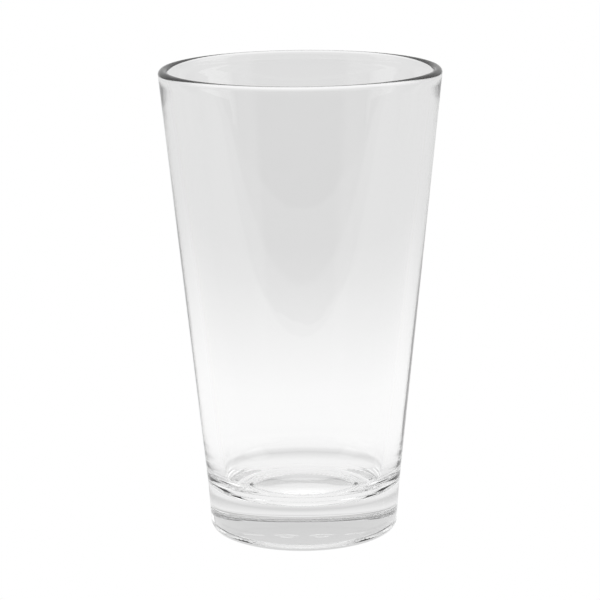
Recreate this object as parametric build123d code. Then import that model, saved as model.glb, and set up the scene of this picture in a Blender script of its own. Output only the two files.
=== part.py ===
from build123d import *
from math import asin, atan2, cos, hypot, pi, sin, tan
import os

# A pint mixing glass: one piece of pressed glass, turned about +Z.
# The origin is the centre of the circle that the glass stands on. Millimetres.

# Outside
height = 149.2
rim_diameter = 88.9  # across the widest part of the lip
base_diameter = 60.0  # where the base band would meet the table without its rounded heel
knee_height = 14.0  # top of the base band, which is steeper than the wall above it
knee_diameter = 61.9
heel_radius = 2.2

# Lip and wall
lip_thickness = 3.0
bead_height = 4.6  # how far below the top the inner bead has run out into the wall
rim_wall = 2.9  # wall thickness just below the bead
foot_wall = 5.6  # wall thickness level with the cavity floor

# Base
base_thickness = 12.9  # from the table to the centre of the cavity floor
floor_dish = 0.5  # the centre of the cavity floor is this much lower than its edge
floor_fillet = 9.0
push_up = 1.3  # height of the hollow under the base, at its centre
step_height = 1.0  # from the bearing ring up to the hollow
step_run = 0.6  # how far the step leans in
step_round = 0.45  # rounding of the step's two corners
ring_width = 6.4  # flat part of the bearing ring

# Stippling: short radial grooves pressed into the inner part of the bearing ring
stipple_count = 84
stipple_width = 0.7
stipple_length = 1.8
stipple_depth = 0.15

# A row of plain raised marks under the base, a little in front of its centre
mark_height = 0.15
mark_pitch = 8.0
mark_offset = 6.0
mark_line = 1.2  # width of a raised line
bar_length = 5.0
ring_mark_diameter = 5.5
pad_width = 3.0


def lip_circle():
    """Centre and radius of the half-round top of the lip."""
    radius = lip_thickness / 2
    return Vector(rim_diameter / 2 - radius, height - radius), radius


def wall_angle():
    """Angle from the vertical of the outer wall, which runs from the knee tangent to the lip."""
    centre, radius = lip_circle()
    run = centre.X - knee_diameter / 2
    rise = centre.Y - knee_height
    return atan2(run, rise) + asin(radius / hypot(run, rise))


def outer_radius(z):
    """Radius of the outer wall at height z, above the knee."""
    return knee_diameter / 2 + (z - knee_height) * tan(wall_angle())


def inner_wall():
    """Ends of the straight inner wall: level with the floor's edge, and below the bead."""
    floor_edge = base_thickness + floor_dish
    bead_end = height - bead_height
    low = Vector(outer_radius(floor_edge) - foot_wall, floor_edge)
    high = Vector(outer_radius(bead_end) - rim_wall, bead_end)
    return low, high


def heel():
    """Ends of the rounded heel: on the bearing ring, and on the base band."""
    slope = atan2((knee_diameter - base_diameter) / 2, knee_height)
    setback = heel_radius * tan((pi / 2 - slope) / 2)
    on_ring = Vector(base_diameter / 2 - setback, 0)
    on_band = Vector(base_diameter / 2 + setback * sin(slope), setback * cos(slope))
    return on_ring, on_band


def hollow_edge():
    """Ends of the step under the base: on the bearing ring, and on the hollow."""
    on_ring = Vector(heel()[0].X - ring_width, 0)
    return on_ring, Vector(on_ring.X - step_run, step_height)


def hollow_height(radius):
    """Height above the table of the shallow hollow under the base."""
    share = radius / hollow_edge()[1].X
    return push_up - (push_up - step_height) * share**2


def round_corner(sketch, corner, radius):
    """Round the vertex of the section that lies at a corner."""
    return fillet(sketch.vertices().sort_by_distance(corner)[0], radius)


def section():
    """Half of the section through the axis, as a face in the XZ plane."""
    lip_centre, lip_radius = lip_circle()
    angle = wall_angle()
    wall_top = lip_centre + Vector(cos(angle), -sin(angle)) * lip_radius
    lip_top = Vector(lip_centre.X, height)
    lip_inside = lip_centre - Vector(lip_radius, 0)
    knee = Vector(knee_diameter / 2, knee_height)
    low, high = inner_wall()
    up_wall = (high - low).normalized()
    heel_on_ring, heel_on_band = heel()
    step_on_ring, step_top = hollow_edge()
    floor_middle = Vector(low.X / 2, base_thickness + floor_dish / 4)
    hollow_middle = Vector(step_top.X / 2, hollow_height(step_top.X / 2))

    with BuildSketch(Plane.XZ) as sketch:
        with BuildLine():
            Line((0, push_up), (0, base_thickness))
            ThreePointArc((0, base_thickness), floor_middle, low)
            Line(low, high)
            Spline(high, lip_inside, tangents=[up_wall, Vector(0, 1)])
            ThreePointArc(lip_inside, lip_centre + Vector(-1, 1).normalized() * lip_radius, lip_top)
            ThreePointArc(lip_top, lip_centre + Vector(1, 1).normalized() * lip_radius, wall_top)
            Line(wall_top, knee)
            Line(knee, heel_on_band)
            RadiusArc(heel_on_band, heel_on_ring, heel_radius)
            Line(heel_on_ring, step_on_ring)
            Line(step_on_ring, step_top)
            ThreePointArc(step_top, hollow_middle, (0, push_up))
        make_face()
        round_corner(sketch, low, floor_fillet)
        round_corner(sketch, step_on_ring, step_round)
        round_corner(sketch, step_top, step_round)
    return sketch.sketch


def mark_faces():
    """The plain marks: a bar, two rings and a pad, in a row."""
    with BuildSketch() as marks:
        with Locations((-1.5 * mark_pitch, -mark_offset)):
            SlotOverall(bar_length, mark_line)
        with Locations((-0.5 * mark_pitch, -mark_offset), (0.5 * mark_pitch, -mark_offset)):
            Circle(ring_mark_diameter / 2)
            Circle(ring_mark_diameter / 2 - mark_line, mode=Mode.SUBTRACT)
        with Locations((1.5 * mark_pitch, -mark_offset)):
            SlotOverall(bar_length, pad_width)
    return marks.sketch


def tumbler():
    """The glass: the turned body, with the grooves cut and the marks raised underneath."""
    groove_radius = hollow_edge()[0].X + stipple_length / 2 - step_run
    mark_face = hollow_height(mark_offset) - mark_height
    with BuildPart() as glass:
        add(section())
        revolve(axis=Axis.Z)
        with PolarLocations(groove_radius, stipple_count):
            Box(stipple_length, stipple_width, 2 * stipple_depth, mode=Mode.SUBTRACT)
        with BuildSketch(Plane.XY.offset(mark_face)):
            add(mark_faces())
        extrude(amount=push_up)
    return glass.part


os.makedirs("parts", exist_ok=True)
export_step(tumbler(), "parts/tumbler.step")
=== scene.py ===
from math import atan2, asin, cos, hypot, pi, radians, sin, tan

import bmesh
import bpy
from mathutils import Matrix, Vector


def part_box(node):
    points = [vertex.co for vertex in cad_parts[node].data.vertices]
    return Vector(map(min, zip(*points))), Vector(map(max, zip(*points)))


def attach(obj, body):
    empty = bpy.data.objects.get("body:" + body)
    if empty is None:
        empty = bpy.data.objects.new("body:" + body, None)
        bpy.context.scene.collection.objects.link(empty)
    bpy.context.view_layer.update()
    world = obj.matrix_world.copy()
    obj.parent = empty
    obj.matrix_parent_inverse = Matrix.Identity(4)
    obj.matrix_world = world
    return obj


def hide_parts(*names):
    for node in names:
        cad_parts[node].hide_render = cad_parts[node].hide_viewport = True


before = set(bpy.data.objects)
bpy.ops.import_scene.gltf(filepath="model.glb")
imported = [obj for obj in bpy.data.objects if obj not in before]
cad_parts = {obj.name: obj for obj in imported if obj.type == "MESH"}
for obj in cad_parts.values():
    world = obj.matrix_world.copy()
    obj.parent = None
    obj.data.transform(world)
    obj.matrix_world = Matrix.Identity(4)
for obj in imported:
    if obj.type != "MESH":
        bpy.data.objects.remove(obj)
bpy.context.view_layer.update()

MM = 0.001

# Section of the glass, in millimetres. Its height and the width of the lip are those of the CAD node.
low_corner, high_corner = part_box("tumbler")
height = high_corner.z / MM
rim_diameter = (high_corner.x - low_corner.x) / MM
base_diameter = 60.0
knee_height = 14.0
knee_diameter = 61.9
knee_round = 36.0
heel_radius = 2.2
lip_thickness = 3.0
bead_height = 4.6
rim_wall = 2.9
foot_wall = 5.6
base_thickness = 12.9
floor_dish = 0.5
floor_fillet = 9.0
push_up = 1.3
step_height = 1.0
step_run = 0.6
step_round = 0.45
ring_width = 6.4

# Stippling: short radial grooves across the inner edge of the bearing ring
stipple_count = 84
stipple_width = 0.7
stipple_length = 1.8
stipple_depth = 0.15
stipple_edge = 0.4  # how far a groove's sides take to fade out

# A row of plain raised marks under the base
mark_height = 0.15
mark_pitch = 8.0
mark_offset = 6.0
mark_line = 1.2
bar_length = 5.0
ring_mark_diameter = 5.5
pad_width = 3.0
mark_edge = 0.4  # width of the marks' sloping sides
mark_reach = 16.0  # the marks lie within this distance of the axis

# Slow waves that pressing leaves in the inner wall. Each one has its share of the depth, its
# number of crests round the glass, its turn per millimetre of height and its starting angle.
wave_depth = 0.03
waves = [(1.0, 3, 0.0, 0.7), (0.7, 7, 1 / 31, 2.1), (0.5, 13, -1 / 23, 0.0)]
wave_start = 20.0  # height above the knee over which they grow
wave_end = 12.0  # height below the bead over which they die away

# Fineness of the turned mesh: steps round it, and along each stretch of its section
segments_per_groove = 6
segments = stipple_count * segments_per_groove
mark_steps = 60
hollow_steps = 6
step_corner_steps = 4
groove_steps = 7
ring_steps = 4
heel_steps = 10
knee_steps = 5
wall_steps = 14
lip_steps = 24
bead_steps = 9
fillet_steps = 12
floor_steps = 9


def lip_circle():
    """Centre and radius of the half-round top of the lip."""
    radius = lip_thickness / 2
    return Vector((rim_diameter / 2 - radius, height - radius)), radius


def wall_angle():
    """Angle from the vertical of the outer wall."""
    centre, radius = lip_circle()
    run = centre.x - knee_diameter / 2
    rise = centre.y - knee_height
    return atan2(run, rise) + asin(radius / hypot(run, rise))


def outer_radius(z):
    """Radius of the outer wall at height z, above the knee."""
    return knee_diameter / 2 + (z - knee_height) * tan(wall_angle())


def line(a, b, count):
    """Evenly spaced points from a to b."""
    return [a.lerp(b, i / count) for i in range(count + 1)]


def arc(centre, radius, start, end, count):
    """Points on a circle between two angles."""
    angles = [start + (end - start) * i / count for i in range(count + 1)]
    return [centre + Vector((cos(a), sin(a))) * radius for a in angles]


def fillet(before, corner, after, radius, count):
    """Points of the arc that rounds a corner, from the side of before to the side of after."""
    a = (before - corner).normalized()
    b = (after - corner).normalized()
    half = a.angle(b) / 2
    centre = corner + (a + b).normalized() * (radius / sin(half))
    start = corner + a * (radius / tan(half)) - centre
    end = corner + b * (radius / tan(half)) - centre
    turn = start.angle_signed(end)
    points = []
    for i in range(count + 1):
        p = start.copy()
        p.rotate(Matrix.Rotation(-turn * i / count, 2))
        points.append(centre + p)
    return points


def s_curve(a, b, direction_a, direction_b, count):
    """A smooth cubic from a to b that leaves and arrives along two directions."""
    reach = (b - a).length / 3
    p1 = a + direction_a * reach
    p2 = b - direction_b * reach
    points = []
    for i in range(count + 1):
        t = i / count
        u = 1 - t
        points.append(a * u**3 + p1 * (3 * u * u * t) + p2 * (3 * u * t * t) + b * t**3)
    return points


def joined(*stretches):
    """One list of points, without the doubled point where two stretches meet."""
    points = []
    for stretch in stretches:
        for p in stretch:
            if not points or (p - points[-1]).length > 1e-6:
                points.append(p)
    return points


def base_ring():
    """Radii where the flat bearing ring begins, at the step, and ends, at the heel."""
    slope = atan2((knee_diameter - base_diameter) / 2, knee_height)
    heel_start = base_diameter / 2 - heel_radius * tan((pi / 2 - slope) / 2)
    return heel_start - ring_width, heel_start


def hollow(radius):
    """Height of the shallow hollow under the base."""
    edge = base_ring()[0] - step_run
    return push_up - (push_up - step_height) * (radius / edge) ** 2


def underside():
    """The section under the base, from the centre to the start of the heel."""
    step_at, heel_at = base_ring()
    step_on_ring = Vector((step_at, 0))
    step_top = Vector((step_at - step_run, step_height))
    inward = Vector((step_top.x - 1, hollow(step_top.x - 1)))
    heel_start = Vector((heel_at, 0))
    upper = fillet(inward, step_top, step_on_ring, step_round, step_corner_steps)
    lower = fillet(step_top, step_on_ring, heel_start, step_round, step_corner_steps)
    marks_end = Vector((mark_reach, 0))
    fine = line(Vector((0, 0)), marks_end, mark_steps)
    coarse = line(marks_end, Vector((upper[0].x, 0)), hollow_steps)
    middle = joined(fine, coarse)
    for p in middle:
        p.y = hollow(p.x)
    grooves_end = Vector((step_at - step_run + stipple_length + stipple_edge, 0))
    grooves = line(lower[-1], grooves_end, groove_steps)
    ring = joined(grooves, line(grooves_end, heel_start, ring_steps))
    return joined(middle, upper, lower, ring)


def section():
    """The section from the centre of the underside, round the outside, to the cavity's centre."""
    angle = wall_angle()
    lip_centre, lip_radius = lip_circle()
    wall_top = lip_centre + Vector((cos(angle), -sin(angle))) * lip_radius
    knee = Vector((knee_diameter / 2, knee_height))
    base_corner = Vector((base_diameter / 2, 0))
    heel = fillet(Vector((0, 0)), base_corner, knee, heel_radius, heel_steps)
    band = fillet(base_corner, knee, wall_top, knee_round, knee_steps)
    outside = line(band[-1], wall_top, wall_steps)
    lip = arc(lip_centre, lip_radius, -angle, pi, lip_steps)

    floor_edge = base_thickness + floor_dish
    low = Vector((outer_radius(floor_edge) - foot_wall, floor_edge))
    bead_end = height - bead_height
    high = Vector((outer_radius(bead_end) - rim_wall, bead_end))
    up_wall = (high - low).normalized()
    bead = s_curve(lip[-1], high, Vector((0, -1)), -up_wall, bead_steps)

    def floor(radius):
        return Vector((radius, base_thickness + floor_dish * (radius / low.x) ** 2))

    corner = fillet(high, low, floor(low.x - 1), floor_fillet, fillet_steps)
    inside = line(high, corner[0], wall_steps)
    ground = [floor(corner[-1].x * (1 - i / floor_steps)) for i in range(floor_steps + 1)]
    return joined(underside(), heel, band, outside, lip, bead, inside, corner, ground)


def rise_at_edge(distance, width):
    """1 inside an outline, 0 outside it, for a signed distance from the outline."""
    t = min(max(0.5 - distance / width, 0), 1)
    return t * t * (3 - 2 * t)


def slot_distance(x, y, length, width):
    """Signed distance from a round-ended slot along X."""
    beyond = max(abs(x) - (length - width) / 2, 0)
    return hypot(beyond, y) - width / 2


def mark_cover(x, y):
    """How much of the marks' height a point under the base has, from 0 to 1."""
    y += mark_offset
    ring_middle = (ring_mark_diameter - mark_line) / 2
    left_ring = abs(hypot(x + mark_pitch / 2, y) - ring_middle) - mark_line / 2
    right_ring = abs(hypot(x - mark_pitch / 2, y) - ring_middle) - mark_line / 2
    bar = slot_distance(x + 1.5 * mark_pitch, y, bar_length, mark_line)
    pad = slot_distance(x - 1.5 * mark_pitch, y, bar_length, pad_width)
    return rise_at_edge(min(left_ring, right_ring, bar, pad), mark_edge)


def groove_cover(radius, angle):
    """How much of the grooves' depth a point of the bearing ring has, from 0 to 1."""
    pitch = 2 * pi / stipple_count
    across = abs((angle + pitch / 2) % pitch - pitch / 2) * radius
    start = base_ring()[0] - step_run
    along = abs(radius - start - stipple_length / 2)
    side = rise_at_edge(across - stipple_width / 2, stipple_edge)
    return side * rise_at_edge(along - stipple_length / 2, stipple_edge)


def wave(z, angle):
    """Radial offset of the wall, fading out at the lip and at the base."""
    growth = min(max((z - knee_height) / wave_start, 0), 1)
    decay = min(max((height - bead_height - z) / wave_end, 0), 1)
    ripple = sum(share * sin(crests * angle + turn * z + phase) for share, crests, turn, phase in waves)
    return growth * decay * wave_depth * ripple


def pressed(p, angle, inner):
    """Where a point of the section ends up, with the marks, the grooves and the waves in place."""
    radius = p.x
    z = p.y
    if z < stipple_depth and radius < base_ring()[1]:
        z = max(z, stipple_depth * groove_cover(radius, angle))
    if inner:
        radius += wave(z, angle)
    elif radius < mark_reach:
        z -= mark_height * mark_cover(radius * cos(angle), radius * sin(angle))
    return Vector((radius * cos(angle), radius * sin(angle), z)) * MM


def lathe(name, points, count):
    """A closed mesh turned about the Z axis from a section whose ends are on the axis."""
    mesh = bmesh.new()
    first = mesh.verts.new((0, 0, points[0].y * MM))
    last = mesh.verts.new((0, 0, points[-1].y * MM))
    top = max(range(len(points)), key=lambda i: points[i].y)
    angles = [2 * pi * i / count for i in range(count)]
    rings = []
    for k, p in enumerate(points[1:-1]):
        rings.append([mesh.verts.new(pressed(p, a, k > top)) for a in angles])
    for i in range(count):
        j = (i + 1) % count
        mesh.faces.new((first, rings[0][j], rings[0][i]))
        mesh.faces.new((last, rings[-1][i], rings[-1][j]))
        for ring, following in zip(rings, rings[1:]):
            mesh.faces.new((ring[i], ring[j], following[j], following[i]))
    bmesh.ops.recalc_face_normals(mesh, faces=mesh.faces)
    for face in mesh.faces:
        face.smooth = True
    data = bpy.data.meshes.new(name)
    mesh.to_mesh(data)
    mesh.free()
    piece = bpy.data.objects.new(name, data)
    bpy.context.scene.collection.objects.link(piece)
    return piece


class Graph:
    """Short names for making and wiring nodes."""

    def __init__(self, tree):
        self.nodes = tree.nodes
        self.links = tree.links

    def add(self, kind, **inputs):
        """A node of one kind. Spaces in its sockets' names are written as underscores."""
        node = self.nodes.new("ShaderNode" + kind)
        for name, value in inputs.items():
            self.feed(node.inputs[name.replace("_", " ")], value)
        return node

    def feed(self, socket, value):
        """Link a socket to another one, or set it to a constant."""
        if isinstance(value, bpy.types.NodeSocket):
            self.links.new(value, socket)
        else:
            socket.default_value = value

    def math(self, operation, *values):
        """The result of a Math node."""
        node = self.nodes.new("ShaderNodeMath")
        node.operation = operation
        for socket, value in zip(node.inputs, values):
            self.feed(socket, value)
        return node.outputs[0]

    def fade(self, value, start, end):
        """0 at start, 1 at end, smoothly joined and held outside them."""
        node = self.nodes.new("ShaderNodeMapRange")
        node.interpolation_type = "SMOOTHSTEP"
        node.inputs["From Min"].default_value = start
        node.inputs["From Max"].default_value = end
        self.feed(node.inputs["Value"], value)
        return node.outputs["Result"]

    def ramp(self, value, stops):
        """A grey level that runs straight from each pair of position and level to the next."""
        node = self.nodes.new("ShaderNodeValToRGB")
        elements = node.color_ramp.elements
        while len(elements) < len(stops):
            elements.new(0.5)
        for element, (position, level) in zip(elements, stops):
            element.position = position
            element.color = (level, level, level, 1)
        self.links.new(value, node.inputs["Fac"])
        return node.outputs["Color"]


def glass_material():
    """Clear glass with the faint ripple and slightly uneven polish of a pressed surface."""
    material = bpy.data.materials.new("clear_glass")
    material.use_nodes = True
    graph = Graph(material.node_tree)
    shader = graph.nodes["Principled BSDF"]
    shader.inputs["Base Color"].default_value = (1, 1, 1, 1)
    shader.inputs["Transmission Weight"].default_value = 1
    shader.inputs["IOR"].default_value = 1.52
    place = graph.add("TexCoord").outputs["Object"]
    ripple = graph.add("TexNoise", Vector=place, Scale=90.0, Detail=2.0)
    bump = graph.add("Bump", Strength=0.03, Distance=0.0002, Height=ripple.outputs["Fac"])
    graph.feed(shader.inputs["Normal"], bump.outputs["Normal"])
    wear = graph.add("TexNoise", Vector=place, Scale=60.0, Detail=4.0)
    polish = graph.add("MapRange", Value=wear.outputs["Fac"], From_Min=0.45, From_Max=0.8, To_Max=0.03)
    graph.feed(shader.inputs["Roughness"], polish.outputs["Result"])
    depth = graph.add("VolumeAbsorption", Color=(0, 0, 0, 1), Density=0.5)
    graph.feed(graph.nodes["Material Output"].inputs["Volume"], depth.outputs["Volume"])
    return material


tumbler = lathe("tumbler_glass", section(), segments)
tumbler.data.materials.append(glass_material())
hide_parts("tumbler")
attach(tumbler, "root")


# Surroundings: the camera sees plain white, and only the glass sees the grey room, the table and
# the soft boxes. Metres.
disc_segments = 96
floor_reach = 10.0
floor_drop = 0.001  # these three flat pieces lie a little below the glass, one above another
table_drop = 0.0005
sheet_drop = 0.0004

# The table glows with painted light: a painted bright pool under the glass, a painted shadow ring about
# the foot of the glass, and light painted dimmer further out. Each pair is a share of the table's reach
# and the light there.
table_size = 3.0
table_reach = 0.5
table_painted_light = [
    (0.00, 1.25),
    (0.03, 0.90),
    (0.08, 0.92),
    (0.104, 0.68),
    (0.13, 0.92),
    (0.18, 0.97),
    (0.30, 0.97),
    (0.50, 0.87),
    (0.66, 0.80),
    (0.80, 0.77),
    (1.00, 0.77),
]

# In front of the glass the pale table ends at a straight edge, and dims again at a second one: a dim
# glowing sheet of painted shade. Only reflections show this painted shade.
sheet_near = 0.188
sheet_far = 2.0
sheet_half_width = 0.6
painted_shade_level = 0.5
dim_edge = 0.236
dim_blur = 0.006

# Soft boxes stand on both sides of the glass
box_distance = 1.0
box_low = 0.15
box_high = 1.1

# The room has grey walls, darker low down in the corners and towards the camera, and a lighter
# ceiling. Heights and directions are those of the unit sphere.
room_levels = [(0.0, 0.77), (0.10, 0.64), (0.35, 0.66), (0.6, 0.82), (1.0, 0.80)]
dark_height = 0.16
corner_depth = 0.45
camera_side_depth = 0.9
camera_side_start = -0.6
camera_side_end = -0.8


def stage_piece(name, mesh, material):
    """An object of the stage, made from a bmesh that is used up."""
    data = bpy.data.meshes.new(name)
    mesh.to_mesh(data)
    mesh.free()
    data.materials.append(material)
    piece = bpy.data.objects.new(name, data)
    bpy.context.scene.collection.objects.link(piece)
    return piece


def disc(radius, drop):
    """A flat disc below the origin."""
    mesh = bmesh.new()
    bmesh.ops.create_circle(mesh, cap_ends=True, segments=disc_segments, radius=radius)
    bmesh.ops.translate(mesh, verts=mesh.verts, vec=(0, 0, -drop))
    return mesh


def sheet(width, depth):
    """A flat rectangle about the origin, along X and Y."""
    mesh = bmesh.new()
    bmesh.ops.create_grid(mesh, x_segments=1, y_segments=1, size=0.5)
    bmesh.ops.scale(mesh, verts=mesh.verts, vec=(width, depth, 1))
    return mesh


def glow(name):
    """An emission material, its graph and its emission node."""
    material = bpy.data.materials.new(name)
    material.use_nodes = True
    graph = Graph(material.node_tree)
    graph.nodes.remove(graph.nodes["Principled BSDF"])
    light = graph.add("Emission")
    graph.feed(graph.nodes["Material Output"].inputs["Surface"], light.outputs[0])
    return material, graph, light


def white_floor():
    """A white floor for the camera alone."""
    piece = stage_piece("white_floor", disc(floor_reach, floor_drop), glow("white")[0])
    piece.visible_diffuse = False
    piece.visible_glossy = False
    piece.visible_transmission = False
    piece.visible_shadow = False


def painted_light_table():
    """The table that the glass sees: a glowing disc of painted light, with a painted shadow ring about
    the foot of the glass.
    """
    material, graph, light = glow("painted_light_table")
    length = graph.add("VectorMath")
    length.operation = "LENGTH"
    graph.feed(length.inputs[0], graph.add("TexCoord").outputs["Object"])
    share = graph.math("DIVIDE", length.outputs["Value"], table_reach)
    # painted light and painted shadow of the table, by distance from the axis
    graph.feed(light.inputs["Color"], graph.ramp(share, table_painted_light))
    stage_piece("painted_light_table", disc(table_size, table_drop), material).visible_camera = False


def painted_shade_sheet():
    """Painted shade on the table in front of the glass: a dim glowing sheet, for reflections alone."""
    material, graph, light = glow("dark")
    split = graph.add("SeparateXYZ", Vector=graph.add("TexCoord").outputs["Object"])
    ahead = graph.math("MULTIPLY", split.outputs["Y"], -1.0)
    undimmed = graph.fade(ahead, dim_edge + dim_blur, dim_edge - dim_blur)
    # strength of the painted shade, dimmed further beyond the second edge
    graph.feed(light.inputs["Strength"], graph.math("MULTIPLY", undimmed, painted_shade_level))
    mesh = sheet(2 * sheet_half_width, sheet_far - sheet_near)
    middle = Vector((0, -(sheet_far + sheet_near) / 2, -sheet_drop))
    bmesh.ops.translate(mesh, verts=mesh.verts, vec=middle)
    piece = stage_piece("painted_shade_sheet", mesh, material)
    piece.visible_camera = False
    piece.visible_transmission = False
    piece.visible_diffuse = False


def soft_box(name, azimuth, width, strength):
    """A soft box beside the glass: azimuth from the camera's side, seen from the glass only."""
    material, graph, light = glow(name)
    across = graph.add("SeparateXYZ", Vector=graph.add("TexCoord").outputs["Object"]).outputs["X"]
    share = graph.math("DIVIDE", graph.math("ABSOLUTE", across), width / 2)
    fall = graph.math("SUBTRACT", 1.0, graph.math("POWER", share, 4.0))
    graph.feed(light.inputs["Strength"], graph.math("MULTIPLY", fall, strength))
    mesh = sheet(width, box_high - box_low)
    bmesh.ops.rotate(mesh, verts=mesh.verts, matrix=Matrix.Rotation(pi / 2, 3, "X"))
    bmesh.ops.translate(mesh, verts=mesh.verts, vec=(0, 0, (box_high + box_low) / 2))
    piece = stage_piece(name, mesh, material)
    piece.visible_camera = False
    piece.location = Vector((sin(azimuth), -cos(azimuth), 0)) * box_distance
    piece.rotation_euler.z = azimuth


def corners(graph, x, y):
    """1 towards the four corners of the room, 0 towards its four sides."""
    turns = graph.math("MULTIPLY", graph.math("ARCTAN2", y, x), 4.0)
    return graph.math("MULTIPLY_ADD", graph.math("COSINE", turns), -0.5, 0.5)


def soft_room():
    """The world: plain white for the camera, and the grey room for every other ray."""
    world = bpy.data.worlds.new("soft_room")
    bpy.context.scene.world = world
    world.use_nodes = True
    graph = Graph(world.node_tree)
    split = graph.add("SeparateXYZ", Vector=graph.add("TexCoord").outputs["Generated"])
    x, y, z = split.outputs
    to_corner = graph.math("MULTIPLY", corners(graph, x, y), corner_depth)
    towards_camera = graph.fade(y, camera_side_start, camera_side_end)
    to_camera = graph.math("MULTIPLY", towards_camera, camera_side_depth)
    low_down = graph.fade(z, dark_height, 0.0)
    dark = graph.math("MULTIPLY", low_down, graph.math("MAXIMUM", to_corner, to_camera))
    grey = graph.nodes["Background"]
    graph.feed(grey.inputs["Color"], graph.ramp(z, room_levels))
    graph.feed(grey.inputs["Strength"], graph.math("SUBTRACT", 1.0, dark))
    plain = graph.add("Background", Color=(1, 1, 1, 1))
    choice = graph.add("MixShader", Fac=graph.add("LightPath").outputs["Is Camera Ray"])
    graph.feed(choice.inputs[1], grey.outputs[0])
    graph.feed(choice.inputs[2], plain.outputs[0])
    graph.feed(graph.nodes["World Output"].inputs["Surface"], choice.outputs[0])


white_floor()
painted_light_table()
painted_shade_sheet()
soft_box("soft_box_right", azimuth=radians(88), width=0.9, strength=1.9)
soft_box("soft_box_left", azimuth=radians(-85), width=0.7, strength=1.6)
soft_room()

# Camera, a little above the glass and hardly rolled
camera_distance = 0.7773
camera_pitch = radians(13.06)
camera_roll = radians(-0.53)
camera_lens = 146.06
aim = Vector((-0.0007, 0, height * MM / 2))
camera_data = bpy.data.cameras.new("camera")
camera_data.lens = camera_lens
camera_data.sensor_width = 36
camera_data.clip_start = 0.01
camera = bpy.data.objects.new("camera", camera_data)
bpy.context.scene.collection.objects.link(camera)
camera.location = aim + Vector((0, -cos(camera_pitch), sin(camera_pitch))) * camera_distance
turn = Matrix.Rotation(pi / 2 - camera_pitch, 3, "X") @ Matrix.Rotation(camera_roll, 3, "Z")
camera.rotation_euler = turn.to_euler()
bpy.context.scene.camera = camera

# Light goes back and forth many times in the thick base
most_bounces = 16
cycles = bpy.context.scene.cycles
cycles.max_bounces = most_bounces
cycles.transmission_bounces = most_bounces
cycles.glossy_bounces = most_bounces
bpy.context.scene.view_settings.view_transform = "Standard"
